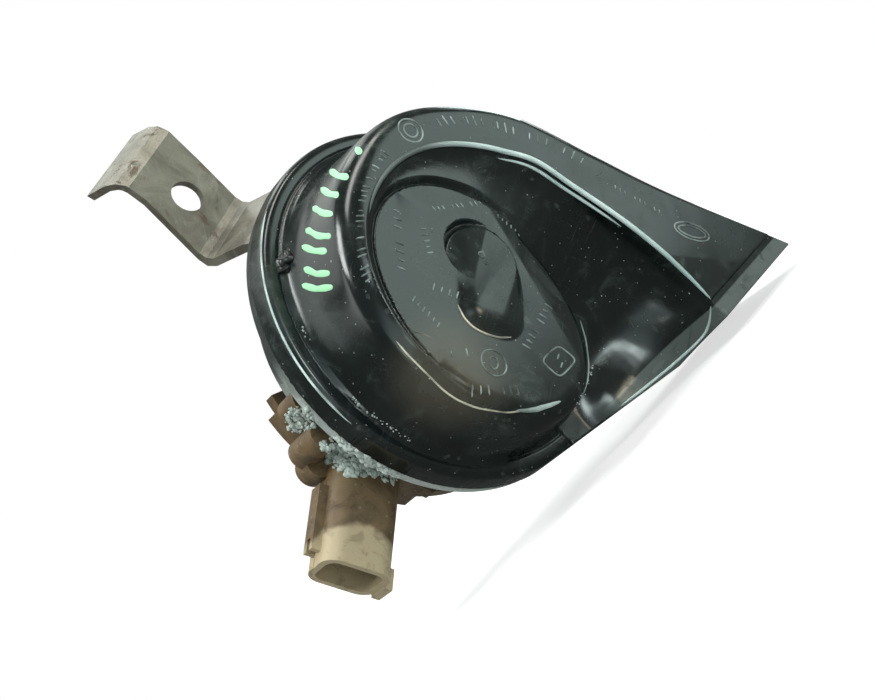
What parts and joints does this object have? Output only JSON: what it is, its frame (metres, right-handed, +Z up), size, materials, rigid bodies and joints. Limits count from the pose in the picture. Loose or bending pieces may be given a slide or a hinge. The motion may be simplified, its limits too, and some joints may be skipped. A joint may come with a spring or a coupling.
{
  "type": "car horn",
  "caption": "Electromagnetic car horn: snail-shaped trumpet shell on a round coil housing with a two-pin socket and a bent strap bracket.",
  "frame": {"origin": "centre of the bracket's mounting hole, on the face of the strap", "axes": "+Y out of the strap's face along the bolt, away from the trumpet; +Z up along the strap's upper leg; the horn hangs below, its trumpet face looking along -Y"},
  "size_m": [0.1424, 0.076, 0.1356],
  "materials": {
    "black_plastic": "glossy black moulded plastic, scuffed and dusty",
    "gasket": "soft black seal",
    "spring_steel": "thin bare spring steel",
    "zinc_steel": "grey zinc plate with white corrosion",
    "soft_iron": "plain soft iron",
    "white_plastic": "natural moulded plastic",
    "copper_wire": "enamelled copper wire",
    "brown_plastic": "brown phenolic plastic",
    "contact_brass": "stamped brass",
    "contact_point": "hard contact metal",
    "tan_plastic": "tan-brown moulded plastic, dirty",
    "bracket_steel": "brown-grey coated steel with light rust"
  },
  "bodies": {
    "horn": {"trumpet_shell": "black_plastic", "trumpet_base": "black_plastic", "throat_gasket": "gasket", "diaphragm": "spring_steel", "crimp_ring": "zinc_steel", "body_cup": "zinc_steel", "pole_core": "zinc_steel", "coil_bobbin": "white_plastic", "coil_winding": "copper_wire", "coil_leads": "copper_wire", "contact_base": "brown_plastic", "fixed_contact": "contact_brass", "fixed_point": "contact_point", "moving_contact": "spring_steel", "adjusting_screw": "zinc_steel", "terminal_cap": "tan_plastic", "terminal_pins": "contact_brass", "cap_rivets": "zinc_steel", "seal_ring": "gasket", "bracket_strap": "bracket_steel", "lock_washer": "bracket_steel", "mounting_nut": "bracket_steel"},
    "armature_unit": {"armature": "soft_iron", "armature_rivet": "soft_iron"},
    "contact_tip": {"moving_point": "contact_point", "push_tip": "brown_plastic"}
  },
  "joints": [
    {"name": "armature_pull", "type": "slide", "parent": "horn", "child": "armature_unit", "axis": [0, 1, 0], "range_m": [0, 0.0005], "stiffness_N_per_m": 2000, "deforming": ["diaphragm"]},
    {"name": "contact_opening", "type": "hinge", "parent": "horn", "child": "contact_tip", "pos_m": [0.0285, -0.0309, -0.061], "axis": [0, 0, -1], "range_deg": [0, 1.8], "deforming": ["moving_contact"]}
  ],
  "couplings": [
    {"joint": "contact_opening", "follows": "armature_pull", "rad_per_m": 62.5}
  ]
}
